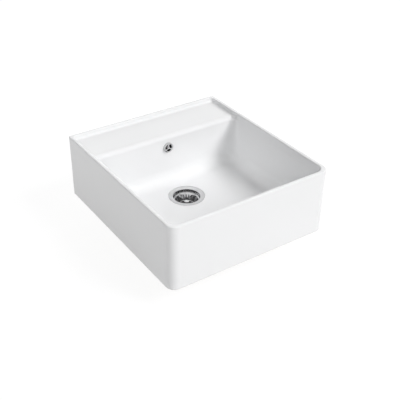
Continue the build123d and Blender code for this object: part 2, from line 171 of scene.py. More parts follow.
def tint(tree, factor, first, second):
    """A colour that runs from the first to the second as a factor runs from 0 to 1."""
    node = add(tree, "Mix", data_type="RGBA")
    tree.links.new(factor, node.inputs[0])
    for index, colour in ((6, first), (7, second)):
        if isinstance(colour, bpy.types.NodeSocket):
            tree.links.new(colour, node.inputs[index])
        else:
            node.inputs[index].default_value = (*colour, 1)
    return node.outputs[2]


def maths(tree, operation, first, second=0.0):
    """One sum of two numbers or sockets."""
    return add(tree, "Math", {0: first, 1: second}, operation=operation).outputs[0]


def relief(tree, height, distance, below=None):
    """Surface relief: a height from 0 to 1 over a distance in metres, over the relief below."""
    node = add(tree, "Bump", {"Height": height, "Distance": distance, "Strength": 1.0})
    if below is not None:
        tree.links.new(below, node.inputs["Normal"])
    return node.outputs[0]


def inside(tree, low, high):
    """1 inside a box, 0 outside it: the product of three tests of distance from its middle."""
    centre = [(a + b) / 2 for a, b in zip(low, high)]
    away = add(tree, "VectorMath", {0: place(tree, centre)}, operation="ABSOLUTE").outputs[0]
    apart = add(tree, "SeparateXYZ", {"Vector": away}).outputs
    tests = [maths(tree, "LESS_THAN", apart[axis], (high[axis] - low[axis]) / 2)
             for axis in range(3)]
    return maths(tree, "MULTIPLY", maths(tree, "MULTIPLY", tests[0], tests[1]), tests[2])


def finish(node, material):
    """Gives a material to a frame node."""
    mesh = frame["nodes"][node].data
    mesh.materials.clear()
    mesh.materials.append(material)


# ---------------------------------------------------------------- settings


class StudioSettings(PropertyGroup):
    camera_place: FloatVectorProperty(
        name="Camera place", description="Where the camera stands", subtype="TRANSLATION",
        unit="LENGTH", default=(-1.06841, -1.58522, 1.29300))
    camera_turn: FloatProperty(
        name="Camera turn", description="How far the camera looks to the right of the back",
        subtype="ANGLE", default=math.radians(34.522))
    camera_tilt: FloatProperty(
        name="Camera tilt", description="How far the camera looks down", subtype="ANGLE",
        default=math.radians(33.255))
    camera_roll: FloatProperty(
        name="Camera roll", description="How far the camera leans over", subtype="ANGLE",
        default=math.radians(0.829))
    lens: FloatProperty(
        name="Lens", description="Focal length on a 36 mm sensor", default=65.281)
    sky_light: FloatProperty(
        name="Sky light", description="Even light from all round", default=0.07)
    deep_light: FloatProperty(
        name="Deep light", description="Brightness of the room in a reflection of a reflection",
        default=0.18)
    key_light: FloatProperty(
        name="Key light", description="Light of the lamp at the front", default=2.45)
    left_light: FloatProperty(
        name="Left light", description="Light of the lamp at the left", default=0.66)
    high_light: FloatProperty(
        name="High light", description="Light of the lamp high at the back left", default=0.30)
    back_light: FloatProperty(
        name="Back light", description="Light of the low lamp behind", default=1.05)
    right_light: FloatProperty(
        name="Right light", description="Light of the lamp at the right", default=0.62)
    lamp_spread: FloatProperty(
        name="Lamp spread", description="How wide each lamp looks from the sink",
        subtype="ANGLE", default=math.radians(24))
    floor_size: FloatProperty(
        name="Floor", description="Side of the floor", unit="LENGTH", default=30.0)


class GlazeSettings(PropertyGroup):
    colour: FloatVectorProperty(
        name="Glaze", description="White of the glaze", subtype="COLOR", min=0, max=1,
        default=(0.874, 0.877, 0.883))
    clay: FloatVectorProperty(
        name="Clay", description="Bare fireclay under the foot and inside the cavity",
        subtype="COLOR", min=0, max=1, default=(0.62, 0.54, 0.44))
    # Painted shade: a near-black colour painted on the wall of the overflow's hole, where it lies
    # in shadow behind the cover.
    painted_hole_shade: FloatVectorProperty(
        name="Sealant", description="Dark sealant on the wall of the overflow's hole",
        subtype="COLOR", min=0, max=1, default=(0.02, 0.02, 0.02))
    foot_band: FloatProperty(
        name="Foot band", description="From the outer sides in to the bare recess below",
        unit="LENGTH", default=33.4 * MM)
    recess_back: FloatProperty(
        name="Recess back", description="How far back the bare recess below goes",
        unit="LENGTH", default=138.6 * MM)
    recess_top: FloatProperty(
        name="Recess top", description="How high the bare recess below goes",
        unit="LENGTH", default=13.0 * MM)
    cavity_wall: FloatProperty(
        name="Cavity wall", description="From the outer sides in to the bare cavity under the deck",
        unit="LENGTH", default=17.5 * MM)
    cavity_front: FloatProperty(
        name="Cavity front", description="Where the bare cavity under the deck begins",
        unit="LENGTH", default=171.6 * MM)
    cavity_top: FloatProperty(
        name="Cavity top", description="How high the bare cavity under the deck goes",
        unit="LENGTH", default=182.5 * MM)
    # Where the painted shade on the wall of the overflow's hole lies.
    painted_hole_shade_reach: FloatProperty(
        name="Sealant reach", description="Radius of the sealant round the overflow's middle",
        unit="LENGTH", default=14.5 * MM)
    painted_hole_shade_front: FloatProperty(
        name="Sealant front", description="Where the sealant begins", unit="LENGTH",
        default=153.5 * MM)
    painted_hole_shade_back: FloatProperty(
        name="Sealant back", description="Where the sealant ends", unit="LENGTH",
        default=171.4 * MM)
    glazed_from: FloatProperty(
        name="Glazed from", description="Height above the foot where the glaze begins",
        unit="LENGTH", default=1.8 * MM)
    gloss: FloatProperty(
        name="Gloss", description="Roughness of the glaze, where 0 is a mirror", min=0, max=1,
        default=0.13)


class SteelSettings(PropertyGroup):
    colour: FloatVectorProperty(
        name="Steel", description="Colour of the stainless steel", subtype="COLOR",
        min=0, max=1, default=(0.74, 0.74, 0.745))
    brass: FloatVectorProperty(
        name="Brass", description="Colour of the threaded inserts", subtype="COLOR",
        min=0, max=1, default=(0.72, 0.53, 0.24))
    turning: FloatProperty(
        name="Turning marks", description="Depth of the lines left by turning and polishing",
        unit="LENGTH", default=0.003 * MM)


class MouldedSettings(PropertyGroup):
    rubber: FloatVectorProperty(
        name="Rubber", description="Colour of plug, seals and gaskets", subtype="COLOR",
        min=0, max=1, default=(0.022, 0.022, 0.023))
    plastic: FloatVectorProperty(
        name="Plastic", description="Colour of body, elbow, pipe and nuts", subtype="COLOR",
        min=0, max=1, default=(0.028, 0.028, 0.030))
    clip: FloatVectorProperty(
        name="Clip", description="Colour of the split sleeve on the pin", subtype="COLOR",
        min=0, max=1, default=(0.80, 0.80, 0.78))


class OutletSettings(PropertyGroup):
    pitch: FloatProperty(
        name="Pitch", description="Pitch of the trap's thread", unit="LENGTH", default=2.309 * MM)
    depth: FloatProperty(
        name="Depth", description="Depth of the trap's thread", unit="LENGTH", default=1.2 * MM)
    collar: FloatProperty(
        name="Collar", description="Plain length above the thread", unit="LENGTH", default=6.0 * MM)
    bore: FloatProperty(
        name="Bore", description="Inside radius", unit="LENGTH", default=20.0 * MM)


class ScrewSettings(PropertyGroup):
    cover_head: FloatProperty(
        name="Cover screw head", description="Height of the countersunk head", unit="LENGTH",
        default=1.2 * MM)
    cover_shank: FloatProperty(
        name="Cover screw shank", description="Radius of the cover screw's shank", unit="LENGTH",
        default=2.5 * MM)
    cover_pitch: FloatProperty(
        name="Cover screw pitch", description="Pitch of the cover screw", unit="LENGTH",
        default=0.8 * MM)
    recess_reach: FloatProperty(
        name="Recess reach", description="Radius of the cross recess", unit="LENGTH",
        default=1.7 * MM)
    recess_width: FloatProperty(
        name="Recess width", description="Half the width of the cross recess", unit="LENGTH",
        default=0.42 * MM)
    clamp_head: FloatProperty(
        name="Clamp screw head", description="Height of the clamp screw's head", unit="LENGTH",
        default=2.5 * MM)
    clamp_shank: FloatProperty(
        name="Clamp screw shank", description="Radius of the clamp screw's shank", unit="LENGTH",
        default=6.0 * MM)
    clamp_bore: FloatProperty(
        name="Clamp screw bore", description="Radius of the bore for the basket's pin",
        unit="LENGTH", default=3.2 * MM)
    clamp_pitch: FloatProperty(
        name="Clamp screw pitch", description="Pitch of the clamp screw", unit="LENGTH",
        default=1.75 * MM)
    coin_slot: FloatProperty(
        name="Coin slot", description="Half the width of the slot across the clamp screw",
        unit="LENGTH", default=1.2 * MM)


class PlugSettings(PropertyGroup):
    hub: FloatProperty(
        name="Hub", description="Radius of the stem's hole", unit="LENGTH", default=3.0 * MM)
    recess: FloatProperty(
        name="Recess", description="Radius of the room for the clamp screw's head",
        unit="LENGTH", default=10.0 * MM)
    web: FloatProperty(
        name="Web", description="Thickness above that room", unit="LENGTH", default=2.0 * MM)


class BasketSettings(PropertyGroup):
    gauge: FloatProperty(
        name="Gauge", description="Thickness of the steel", unit="LENGTH", default=1.0 * MM)
    bead: FloatProperty(
        name="Bead", description="Radius of the rolled rim", unit="LENGTH", default=1.1 * MM)
    floor_radius: FloatProperty(
        name="Floor radius", description="Radius where floor and wall meet", unit="LENGTH",
        default=27.0 * MM)
    top_radius: FloatProperty(
        name="Top radius", description="Radius where wall and rim meet", unit="LENGTH",
        default=37.9 * MM)
    hole: FloatProperty(
        name="Stem hole", description="Radius of the hole for the stem", unit="LENGTH",
        default=3.1 * MM)
    petal_start: FloatProperty(
        name="Petals from", description="Radius where the floor's openings begin", unit="LENGTH",
        default=10.2 * MM)
    petal_end: FloatProperty(
        name="Petals to", description="Radius where the floor's openings end", unit="LENGTH",
        default=24.2 * MM)
    slot_start: FloatProperty(
        name="Slots from", description="Distance up the wall where its slots begin", unit="LENGTH",
        default=4.2 * MM)
    slot_end: FloatProperty(
        name="Slots to", description="Distance up the wall where its slots end", unit="LENGTH",
        default=19.6 * MM)
    petals: IntProperty(
        name="Petals", description="How many openings the floor has", min=1, default=12)
    slots: IntProperty(
        name="Slots", description="How many openings the wall has", min=1, default=24)
    petal_share: FloatProperty(
        name="Petal share", description="Part of the floor's ring that is open", min=0, max=1,
        default=0.44)
    slot_share: FloatProperty(
        name="Slot share", description="Part of the wall's ring that is open", min=0, max=1,
        default=0.38)


class CoverSettings(PropertyGroup):
    gauge: FloatProperty(
        name="Gauge", description="Thickness of the steel", unit="LENGTH", default=0.8 * MM)
    dish: FloatProperty(
        name="Dish", description="How far the plate lies behind the rim", unit="LENGTH",
        default=1.4 * MM)
    hole: FloatProperty(
        name="Screw hole", description="Radius of the screw's hole", unit="LENGTH",
        default=3.15 * MM)
    hub: FloatProperty(
        name="Hub", description="Radius of the hub", unit="LENGTH", default=4.3 * MM)
    slot_end: FloatProperty(
        name="Slots to", description="Radius where the openings end", unit="LENGTH",
        default=12.2 * MM)
    slots: IntProperty(
        name="Slots", description="How many openings the cover has", min=1, default=3)
    slot_share: FloatProperty(
        name="Slot share", description="Part of the ring that is open", min=0, max=1, default=0.79)


# ---------------------------------------------------------------- surfaces


def surface(name, x, y, z, looped, kept=None):
    """Mesh of a grid of points: rows along a profile, columns round an axis. Columns always close
    on themselves, rows only where looped; rows of one point are merged to a pole. Where kept is
    given, only the faces that it marks are made."""
    rows, columns = x.shape
    points = np.stack([x, y, z], axis=-1).reshape(-1, 3)
    last = rows if looped else rows - 1
    row, column = np.meshgrid(np.arange(last), np.arange(columns), indexing="ij")
    below, beside = (row + 1) % rows, (column + 1) % columns
    faces = np.stack([row * columns + column, below * columns + column,
                      below * columns + beside, row * columns + beside], axis=-1)
    faces = faces.reshape(-1, 4) if kept is None else faces[kept]
    mesh = bpy.data.meshes.new(name)
    mesh.from_pydata(points.tolist(), [], faces.tolist())
    shell = bmesh.new()
    shell.from_mesh(mesh)
    bmesh.ops.delete(shell, geom=[v for v in shell.verts if not v.link_faces], context="VERTS")
    bmesh.ops.remove_doubles(shell, verts=shell.verts, dist=MERGE)
    bmesh.ops.recalc_face_normals(shell, faces=shell.faces)
    shell.to_mesh(mesh)
    shell.free()
    mesh.shade_smooth()
    mesh.set_sharp_from_angle(angle=SHARP)
    piece = bpy.data.objects.new(name, mesh)
    bpy.context.scene.collection.objects.link(piece)
    return piece


def thickened(piece, gauge):
    """Gives a sheet its thickness, half to each side, and marks its sharp edges."""
    wall = piece.modifiers.new("gauge", "SOLIDIFY")
    wall.thickness = gauge
    wall.offset = 0.0
    wall.use_even_offset = True
    ready = piece.evaluated_get(bpy.context.evaluated_depsgraph_get())
    mesh = bpy.data.meshes.new_from_object(ready)
    piece.modifiers.clear()
    piece.data = mesh
    mesh.set_sharp_from_angle(angle=SHARP)
    return piece


def round_z(radius, height, angle, centre):
    """Points round the upright axis: x = cx + r cos a, y = cy + r sin a, z = h."""
    return centre[0] + radius * np.cos(angle), centre[1] + radius * np.sin(angle), height


def round_y(radius, depth, angle, centre):
    """Points round an axis that runs to the back: x = cx + r cos a, z = cz + r sin a, y = d."""
    return centre[0] + radius * np.cos(angle), depth, centre[2] + radius * np.sin(angle)


def softened(points, cuts):
    """Closed profile with its corners cut: each cut puts points at 1/5 and 4/5 of every side."""
    path = np.array(points, float)
    for _ in range(cuts):
        ahead = np.roll(path, -1, axis=0)
        pair = np.stack([0.8 * path + 0.2 * ahead, 0.2 * path + 0.8 * ahead], axis=1)
        path = pair.reshape(-1, 2)
    return path[:, 0], path[:, 1]


def bend(start, corner, end, steps=6):
    """Bend in a sheet between two runs: (1 - t)² start + 2t (1 - t) corner + t² end."""
    t = np.linspace(0, 1, steps)[:, None]
    return (1 - t) ** 2 * start + 2 * t * (1 - t) * corner + t ** 2 * end


def smooth_step(value, start, end):
    """0 before start, 1 after end, and 3t² - 2t³ between them."""
    t = np.clip((value - start) / (end - start), 0, 1)
    return t * t * (3 - 2 * t)


def thread(along, angle, pitch, depth, start, end):
    """Depth of a round thread below its crest: depth (1 - cos (2π s / pitch - a)) / 2, faded to
    nothing over one pitch at both ends."""
    wave = (1 - np.cos(2 * np.pi * along / pitch - angle)) / 2
    run = smooth_step(along, start, start + pitch) * (1 - smooth_step(along, end - pitch, end))
    return depth * wave * run


def grid(profile, steps):
    """Two arrays with one row for each profile value and one column for each angle: the value
    and the angle."""
    angle = np.linspace(0, 2 * np.pi, steps, endpoint=False)
    return np.meshgrid(np.asarray(profile, float), angle, indexing="ij")


def outlet(settings):
    """Threaded outlet: a tube whose outside is r = R - thread(s, a), s measured down from the
    top, with a bevelled mouth and a plain bore."""
    low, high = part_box("waste_outlet")
    centre, radius = middle("waste_outlet"), (high.x - low.x) / 2
    length, bevel = high.z - low.z, 0.8 * MM
    outside = np.linspace(0, length - bevel, 150)
    bore = np.linspace(length - bevel / 2, 0, 12)
    reach = np.concatenate([np.full(outside.size, radius),
                            [radius - bevel, settings.bore + bevel / 2],
                            np.full(bore.size, settings.bore)])
    down, angle = grid(np.concatenate([outside, [length, length], bore]), steps=96)
    cut = thread(down, angle, settings.pitch, settings.depth, settings.collar, length - bevel)
    cut[outside.size:] = 0
    return surface("threaded_outlet",
                   *round_z(reach[:, None] - cut, high.z - down, angle, centre), True)


def cover_screw(settings):
    """Countersunk screw along +Y: a head face with a cross recess, a cone, a threaded shank and a
    tip. The recess lowers the face by its depth times the larger of two bars, each a product of
    smooth steps."""
    low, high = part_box("overflow_screw")
    centre, head, length = middle("overflow_screw"), (high.x - low.x) / 2, high.y - low.y
    shank, bevel = settings.cover_shank, 0.15 * MM
    recess_depth, soft = 0.8 * MM, 0.12 * MM
    thread_start, thread_depth = 3 * MM, 0.4 * MM
    face = np.linspace(0, head - bevel, 26)
    body = np.linspace(settings.cover_head, length - shank * 0.8, 260)
    reach, angle = grid(np.concatenate([face, [head], np.full(body.size, shank),
                                        [shank * 0.35, 0]]), steps=64)
    along = np.concatenate([np.zeros(face.size), [bevel], body, [length, length]])[:, None]
    on_face = np.arange(along.size)[:, None] < face.size
    across, up = np.abs(reach * np.cos(angle)), np.abs(reach * np.sin(angle))
    wide, far = settings.recess_width, settings.recess_reach
    bars = [(1 - smooth_step(a, wide - soft, wide + soft))
            * (1 - smooth_step(b, far - 5 * soft, far))
            for a, b in ((across, up), (up, across))]
    along = along + on_face * recess_depth * np.maximum(*bars)
    cut = ~on_face * thread(along, angle, settings.cover_pitch, thread_depth, thread_start,
                            length - shank)
    return surface("cover_screw", *round_y(reach - cut, low.y + along, angle, centre), False)


def clamp_screw(settings):
    """Hollow screw: a looped profile across the head, down the head's side and the threaded shank
    and up the bore. A slot across the head lowers its top by its depth where |x| is small."""
    low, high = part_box("waste_clamp_screw")
    centre, head, length = middle("waste_clamp_screw"), (high.x - low.x) / 2, high.z - low.z
    bore, shank, depth = settings.clamp_bore, settings.clamp_shank, settings.clamp_head
    slot_depth, thread_depth, chamfer = 1.2 * MM, 0.55 * MM, 0.6 * MM
    top = np.linspace(bore + 0.3 * MM, head - 0.9 * MM, 30)
    run = np.linspace(depth, length - chamfer, 90)
    reach, angle = grid(np.concatenate([
        top, [head - 0.3 * MM, head, head], np.full(run.size, shank),
        [shank - 0.7 * MM, bore + 0.4 * MM], np.full(12, bore)]), steps=144)
    down = np.concatenate([np.zeros(top.size), [0.2 * MM, 0.7 * MM, depth], run, [length, length],
                           np.linspace(length - 0.4 * MM, 0.3 * MM, 12)])[:, None]
    across, edge = np.abs(reach * np.cos(angle)), 0.12 * MM
    slot = 1 - smooth_step(across, settings.coin_slot - edge, settings.coin_slot + edge)
    down = np.maximum(down, slot_depth * slot)
    row, first = np.arange(down.shape[0])[:, None], top.size + 3
    on_shank = (row >= first) & (row < first + run.size)
    cut = on_shank * thread(down, angle, settings.clamp_pitch, thread_depth, depth + 1 * MM,
                            length - chamfer)
    return surface("clamp_screw", *round_z(reach - cut, high.z - down, angle, centre), True)


def plug(settings):
    """Rubber plug: a ring whose profile has a flat top, a waisted side, a thin wiping lip, two
    ribs below and a recess round the clamp screw's head."""
    low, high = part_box("basket_plug_seal")
    centre, edge = middle("basket_plug_seal"), (high.x - low.x) / 2
    top, lip, web = high.z, low.z, high.z - settings.web
    # Radius and height of each corner: up the hub, out over the top, down the side to the wiping
    # lip, then back in under the two ribs and up into the recess.
    profile = [
        (settings.hub, web), (settings.hub, top), (edge - 1.2 * MM, top),
        (edge - 0.5 * MM, top - 0.8 * MM), (edge - 1.6 * MM, top - 2.6 * MM),
        (edge, lip + 0.6 * MM), (edge, lip), (edge - 0.9 * MM, lip),
        (edge - 3.0 * MM, lip + 2.4 * MM), (edge - 5.0 * MM, lip + 2.4 * MM),
        (edge - 6.0 * MM, lip), (edge - 7.4 * MM, lip), (edge - 8.4 * MM, lip + 2.0 * MM),
        (edge - 10.6 * MM, lip + 2.0 * MM), (edge - 11.6 * MM, lip), (edge - 13.0 * MM, lip),
        (edge - 14.0 * MM, lip + 1.6 * MM), (settings.recess + 1.0 * MM, lip + 0.6 * MM),
        (settings.recess, lip + 1.2 * MM), (settings.recess, web)]
    steps = 120
    reach, height = softened(profile, cuts=2)
    reach, angle = grid(reach, steps)
    height = np.repeat(height[:, None], steps, axis=1)
    return surface("plug", *round_z(reach, height, angle, centre), True)


def from_opening(angle, cut):
    """How far each angle is from the middle of the nearest opening of a cut: 0 in its middle, 1 at
    its edge and more beyond it."""
    pitch = 2 * np.pi / cut.count
    return np.abs((angle - cut.first + pitch / 2) % pitch - pitch / 2) / (cut.share * pitch / 2)


def pierced(name, path, steps, rounded, centre, cuts):
    """Sheet turned round an axis along a profile, with rings of openings left out of its grid. The
    first and the last row of each cut follow the curve d (1 - (1 - t^p)^(1/p)) into the opening,
    where t is 0 in its middle and 1 at its edges and on the bars between."""
    radius, angle = grid(path[:, 0], steps)
    height = np.repeat(path[:, 1][:, None], steps, axis=1)
    kept = np.ones((path.shape[0] - 1, steps), bool)
    for cut in cuts:
        away = np.minimum(from_opening(angle[0], cut), 1)
        rise = cut.depth * (1 - (1 - away ** cut.power) ** (1 / cut.power))
        kept[cut.start:cut.end, from_opening(angle[0] + np.pi / steps, cut) < 1] = False
        for row, way in ((cut.start, 1), (cut.end, -1)):
            radius[row] += way * rise * cut.along[0]
            height[row] += way * rise * cut.along[1]
    return surface(name, *rounded(radius, height, angle, centre), False, kept)


def basket(settings):
    """Strainer basket: one sheet turned round the upright axis, from the stem's hole over the
    floor with its petals, up the wall with its slots and into a rim rolled along
    (R + b cos t, H + b sin t)."""
    low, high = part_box("strainer_basket")
    centre, half = middle("strainer_basket"), settings.gauge / 2
    base, brim = low.z + half, high.z - 2 * settings.bead + half
    rim, roll = (high.x - low.x) / 2 - settings.bead, settings.bead - half
    corner, top = np.array([settings.floor_radius, base]), np.array([settings.top_radius, brim])
    up = (top - corner) / np.linalg.norm(top - corner)
    out, reach, margin = np.array([1.0, 0.0]), 1.2 * MM, 2 * MM
    petal_rows = np.linspace(settings.petal_start, settings.petal_end, 5)
    slot_rows = np.linspace(settings.slot_start, settings.slot_end, 5)
    plain_rows = np.linspace(settings.hole, settings.petal_start, 4)[:-1]
    flat = np.concatenate([plain_rows, petal_rows])[:, None] * out + (0, base)
    foot = bend(corner - reach * out, corner, corner + reach * up)
    up_wall = np.concatenate([[2 * reach], slot_rows, [settings.slot_end + margin]])
    wall = corner + up_wall[:, None] * up
    shoulder = bend(top - reach * up, top, top + reach * out)
    turn = np.linspace(-np.pi / 2, np.pi, 13)[:, None]
    curl = (rim, brim + roll) + roll * np.concatenate([np.cos(turn), np.sin(turn)], axis=1)
    path = np.concatenate([flat, foot, wall, shoulder, curl])
    petals_from, slots_from = plain_rows.size, flat.shape[0] + foot.shape[0] + 1
    petals = Cut(start=petals_from, end=petals_from + petal_rows.size - 1, count=settings.petals,
                 share=settings.petal_share, first=0.0, along=out, depth=1.6 * MM, power=2)
    slots = Cut(start=slots_from, end=slots_from + slot_rows.size - 1, count=settings.slots,
                share=settings.slot_share, first=0.0, along=up, depth=1.3 * MM, power=2)
    sheet = pierced("slotted_basket", path, 480, round_z, centre, (petals, slots))
    return thickened(sheet, settings.gauge)


def cover(settings):
    """Overflow cover: one sheet turned round an axis that runs to the back, from the screw's hole
    over the hub and past three curved openings to a rounded rim that turns back to the wall."""
    low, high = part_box("overflow_rosette")
    centre, half, edge = middle("overflow_rosette"), settings.gauge / 2, (high.x - low.x) / 2
    plate, crest = low.y + settings.dish + half, low.y + half
    hub, end, margin = settings.hub, settings.slot_end, 0.8 * MM
    rim_width, rim_depth = 2.8 * MM, 2.6 * MM
    plain_rows, slot_rows = np.array([settings.hole, hub - margin]), np.linspace(hub, end, 3)
    run = np.concatenate([plain_rows, slot_rows])
    flat = np.stack([run, np.full(run.size, plate)], axis=1)
    foot, shoulder = np.array([end + margin, plate]), np.array([edge - rim_width, crest])
    side, wall = np.array([edge - half, crest]), np.array([edge - half, high.y])
    slope = bend(foot, (foot + shoulder) / 2, shoulder, 5)
    rim = bend(shoulder, side, side + (0, rim_depth), 9)[1:]
    path = np.concatenate([flat, slope, rim, wall[None, :]])
    slots = Cut(start=plain_rows.size, end=run.size - 1, count=settings.slots,
                share=settings.slot_share, first=math.radians(30), along=(1.0, 0.0),
                depth=0.4 * (end - hub), power=5)
    sheet = pierced("slotted_cover", path, 240, round_y, centre, (slots,))
    return thickened(sheet, settings.gauge)


# ---------------------------------------------------------------- finishes


def glaze(settings):
    """White glaze with the faint ripple of a fired surface over bare clay, which shows on the
    foot, in the recess of the underside and inside the cavity under the deck. The wall of the
    overflow's hole and its edge behind the cover are painted near black: painted shade for the
    hole's shadow behind the cover."""
    material, tree, shader = new_material("white_glaze")
    low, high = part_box("sink_basin")
    here = place(tree)
    slow, peel = noise(tree, here, scale=9.0), noise(tree, here, scale=260.0, detail=3.0)
    grain = noise(tree, here, scale=900.0, detail=5.0, roughness=0.7)
    sand = noise(tree, here, scale=150.0, detail=4.0, roughness=0.6)
    wander = noise(tree, here, scale=60.0, detail=3.0)

    level = add(tree, "SeparateXYZ", {"Vector": here}).outputs[2]
    edge = between(tree, wander, -0.6 * MM, 0.6 * MM)
    foot = maths(tree, "LESS_THAN", maths(tree, "ADD", level, edge), settings.glazed_from)
    band, wall, below = settings.foot_band, settings.cavity_wall, low.z - 10 * MM
    under = inside(tree, (low.x + band, low.y + band, below),
                   (high.x - band, settings.recess_back, settings.recess_top))
    cavity = inside(tree, (low.x + wall, settings.cavity_front, below),
                    (high.x - wall, high.y - wall, settings.cavity_top))
    bare = maths(tree, "MAXIMUM", maths(tree, "MAXIMUM", foot, under), cavity)

    # Painted shade: a near-black patch on the wall of the overflow's hole behind the cover, where
    # the hole lies in shadow.
    reach = settings.painted_hole_shade_reach
    slab = inside(tree, (OVERFLOW.x - reach, settings.painted_hole_shade_front, OVERFLOW.z - reach),
                  (OVERFLOW.x + reach, settings.painted_hole_shade_back, OVERFLOW.z + reach))
    away = add(tree, "VectorMath", {0: place(tree, OVERFLOW, scale=(1, 0, 1))}, operation="LENGTH")
    close = maths(tree, "LESS_THAN", away.outputs["Value"], reach)
    painted_hole_shade_mask = maths(tree, "MULTIPLY", slab, close)

    colour, clay = tuple(settings.colour), tuple(settings.clay)
    white = tint(tree, slow, tuple(c * 0.985 for c in colour), colour)
    fired = tint(tree, sand, tuple(c * 0.80 for c in clay), tuple(min(c * 1.12, 1) for c in clay))
    speck = between(tree, grain, 0.0, 1.0, start=0.66, end=0.72)
    fired = tint(tree, speck, fired, tuple(c * 0.45 for c in clay))
    body = tint(tree, bare, white, fired)
    # The painted shade of the overflow's hole goes over the glaze and the clay.
    tree.links.new(tint(tree, painted_hole_shade_mask, body, tuple(settings.painted_hole_shade)), shader.inputs["Base Color"])
    shine = between(tree, slow, settings.gloss * 0.8, settings.gloss * 1.25)
    dry = maths(tree, "MULTIPLY", maths(tree, "MAXIMUM", bare, painted_hole_shade_mask), 0.85)
    tree.links.new(maths(tree, "MAXIMUM", shine, dry), shader.inputs["Roughness"])
    ripple = relief(tree, slow, 0.5 * MM)
    peeled = relief(tree, peel, 0.01 * MM, ripple)
    rough = maths(tree, "MULTIPLY", grain, bare)
    tree.links.new(relief(tree, rough, 0.25 * MM, peeled), shader.inputs["Normal"])
    return material


def turned_metal(name, colour, centre, along, roughness, marks, shaded_below=None):
    """Metal with fine turned lines round an axis, cloudy patches of polish and hair scratches.
    Below the level shaded_below it is painted darker, as painted shade deep in the drain, and
    it is rougher there."""
    material, tree, shader = new_material(name)
    here = place(tree, centre)
    lines = add(tree, "TexWave", {"Vector": here, "Scale": 260.0, "Distortion": 1.5, "Detail": 2.0},
                wave_type="RINGS", rings_direction=along).outputs["Fac"]
    cloud = noise(tree, here, scale=60.0)
    drawn = place(tree, centre, turn=(0.3, 0.2, 0.5), scale=(1, 22, 22))
    hairs = noise(tree, drawn, scale=260.0)
    metal = tuple(colour)
    bright = tint(tree, cloud, tuple(c * 0.93 for c in metal), metal)
    haze = between(tree, hairs, 0.0, roughness * 0.6, start=0.52, end=0.75)
    polish = maths(tree, "ADD", between(tree, cloud, roughness * 0.8, roughness * 1.2), haze)
    if shaded_below is not None:
        level = add(tree, "SeparateXYZ", {"Vector": place(tree)}).outputs[2]
        # Painted shade: below this level the metal is darkened to a quarter, for the shade deep
        # inside the drain.
        drain_shade = between(tree, level, 1.0, 0.0, start=shaded_below - 3 * MM, end=shaded_below)
        bright = tint(tree, drain_shade, bright, tuple(c * 0.25 for c in metal))
        polish = maths(tree, "ADD", polish, maths(tree, "MULTIPLY", drain_shade, 0.25))
    tree.links.new(bright, shader.inputs["Base Color"])
    tree.links.new(polish, shader.inputs["Roughness"])
    tree.links.new(relief(tree, lines, marks), shader.inputs["Normal"])
    shader.inputs["Metallic"].default_value = 1.0
    return material


def moulded(name, colour, roughness, grain):
    """Moulded plastic or rubber: slightly mottled, with flow marks and a fine grain."""
    material, tree, shader = new_material(name)
    here = place(tree)
    patch, fine = noise(tree, here, scale=45.0), noise(tree, here, scale=1400.0, detail=4.0)
    flow = noise(tree, place(tree, scale=(1, 1, 0.2)), scale=90.0, detail=3.0)
    shade = tuple(colour)
    mottled = tint(tree, patch, tuple(c * 0.85 for c in shade), shade)
    matt = between(tree, flow, roughness * 0.8, roughness * 1.2)
    tree.links.new(mottled, shader.inputs["Base Color"])
    tree.links.new(matt, shader.inputs["Roughness"])
    tree.links.new(relief(tree, fine, grain), shader.inputs["Normal"])
    return material


FINISHES = {}


def finishes():
    """One material for each slot of the record, and one for the strainer bowl, made once."""
    if FINISHES:
        return FINISHES
    scene = bpy.context.scene
    metal, soft = scene.sink_steel, scene.sink_moulded
    steel, marks = metal.colour, metal.turning
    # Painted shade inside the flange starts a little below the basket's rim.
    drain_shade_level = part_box("strainer_basket")[1].z - 4 * MM
    FINISHES["glaze"] = glaze(scene.sink_glaze)
    FINISHES["stainless"] = turned_metal(
        "turned_steel", steel, WASTE, "Z", roughness=0.09, marks=marks)
    FINISHES["strainer_bowl"] = turned_metal(
        "strainer_bowl", steel, WASTE, "Z", roughness=0.09, marks=marks, shaded_below=drain_shade_level)
    FINISHES["polished_steel"] = turned_metal(
        "polished_steel", steel, OVERFLOW, "Y", roughness=0.10, marks=marks / 2)
    FINISHES["brass"] = turned_metal(
        "machined_brass", metal.brass, WASTE, "Z", roughness=0.22, marks=marks)
    FINISHES["rubber"] = moulded(
        "black_rubber", soft.rubber, roughness=0.62, grain=0.012 * MM)
    FINISHES["dark_plastic"] = moulded(
        "black_plastic", soft.plastic, roughness=0.36, grain=0.006 * MM)
    FINISHES["white_plastic"] = moulded(
        "white_plastic", soft.clip, roughness=0.42, grain=0.006 * MM)
    return FINISHES


def dress(piece, node):
    """Puts a new piece in a frame node's place, on its body and with its slot's finish."""
    slot = slot_of(node)
    piece.data.materials.append(finishes()[slot])
    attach(piece, body_of(node))
    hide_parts(node)


# ---------------------------------------------------------------- studio


def camera(settings):
    """Camera at the place and angle of the picture to match."""
    data = bpy.data.cameras.new("camera")
    data.lens = settings.lens
    data.sensor_width = 36.0
    data.clip_start = 0.01
    made = bpy.data.objects.new("camera", data)
    made.location = settings.camera_place
    level = Euler((math.pi / 2 - settings.camera_tilt, 0, -settings.camera_turn)).to_matrix()
    made.rotation_euler = (level @ Matrix.Rotation(settings.camera_roll, 3, "Z")).to_euler()
    bpy.context.scene.collection.objects.link(made)
    bpy.context.scene.camera = made


def lamp(name, turn, height, light, spread):
    """Wide far lamp that shines on the sink and isn't seen in its reflections."""
    data = bpy.data.lights.new(name + "_lamp", "SUN")
    data.energy = light
    data.angle = spread
    made = bpy.data.objects.new(name + "_lamp", data)
    made.rotation_euler = (math.radians(90 - height), 0, math.radians(turn))
    made.visible_glossy = False
    bpy.context.scene.collection.objects.link(made)


